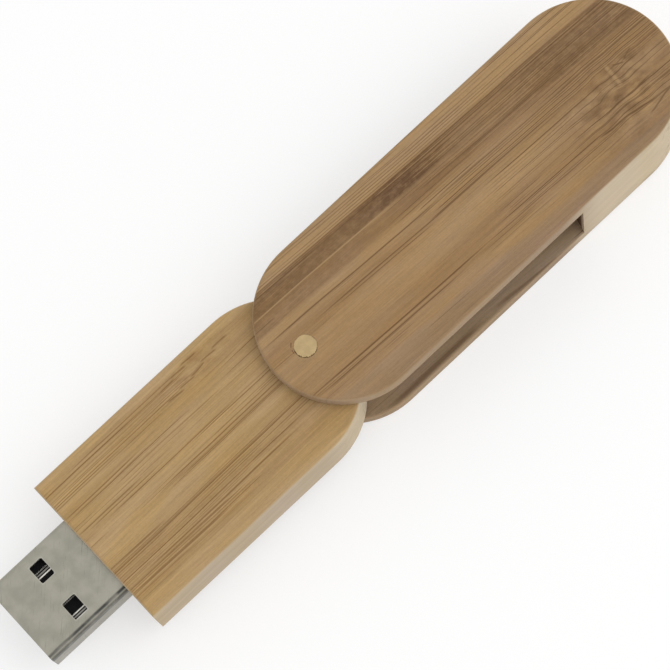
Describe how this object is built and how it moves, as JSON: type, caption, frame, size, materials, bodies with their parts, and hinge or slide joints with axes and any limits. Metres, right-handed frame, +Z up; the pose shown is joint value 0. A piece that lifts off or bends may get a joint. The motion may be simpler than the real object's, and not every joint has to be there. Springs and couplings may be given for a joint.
{
  "type": "usb flash drive",
  "caption": "Swivel flash drive in bamboo: a flat drive body with a type A plug turns on a wooden dowel out of a slotted oblong cover.",
  "frame": {"origin": "where the swivel dowel's axis meets the cover's underside", "axes": "+X along the cover, from the dowel to the closed far end; +Z up along the dowel; the open drive and its plug point to -X"},
  "size_m": [0.1077, 0.0222, 0.013],
  "materials": {
    "bamboo_cover": "sanded, oiled",
    "bamboo_body": "sanded, oiled",
    "dowel_wood": "sanded",
    "plug_steel": "nickel plated, satin",
    "insulator_plastic": "moulded",
    "contact_gold": "gold flashed",
    "board_laminate": "solder resist over glass fibre laminate",
    "chip_black": "moulded epoxy",
    "solder": "reflowed solder and tinned leads",
    "crystal_can": "drawn metal can",
    "capacitor_ceramic": "fired ceramic with tinned ends",
    "resistor_black": "glazed",
    "led_clear": "clear epoxy",
    "adhesive": "set hot-melt adhesive"
  },
  "bodies": {
    "cover": {"cover": "bamboo_cover", "swivel_dowel": "dowel_wood"},
    "drive": {"body_block": "bamboo_body", "plug_shell": "plug_steel", "plug_insulator": "insulator_plastic", "contact_ground": "contact_gold", "contact_data_plus": "contact_gold", "contact_data_minus": "contact_gold", "contact_vbus": "contact_gold", "contact_solder": "solder", "shell_solder": "solder", "circuit_board": "board_laminate", "controller_chip": "chip_black", "controller_leads": "solder", "flash_chip": "chip_black", "crystal": "crystal_can", "ceramic_capacitors": "capacitor_ceramic", "chip_resistors": "resistor_black", "ferrite_bead": "resistor_black", "status_led": "led_clear", "glue_ring": "adhesive"}
  },
  "joints": [
    {"name": "swivel", "type": "hinge", "parent": "cover", "child": "drive", "pos_m": [0, 0, 0.0065], "axis": [0, 0, 1], "range_deg": [-180, 152]}
  ]
}
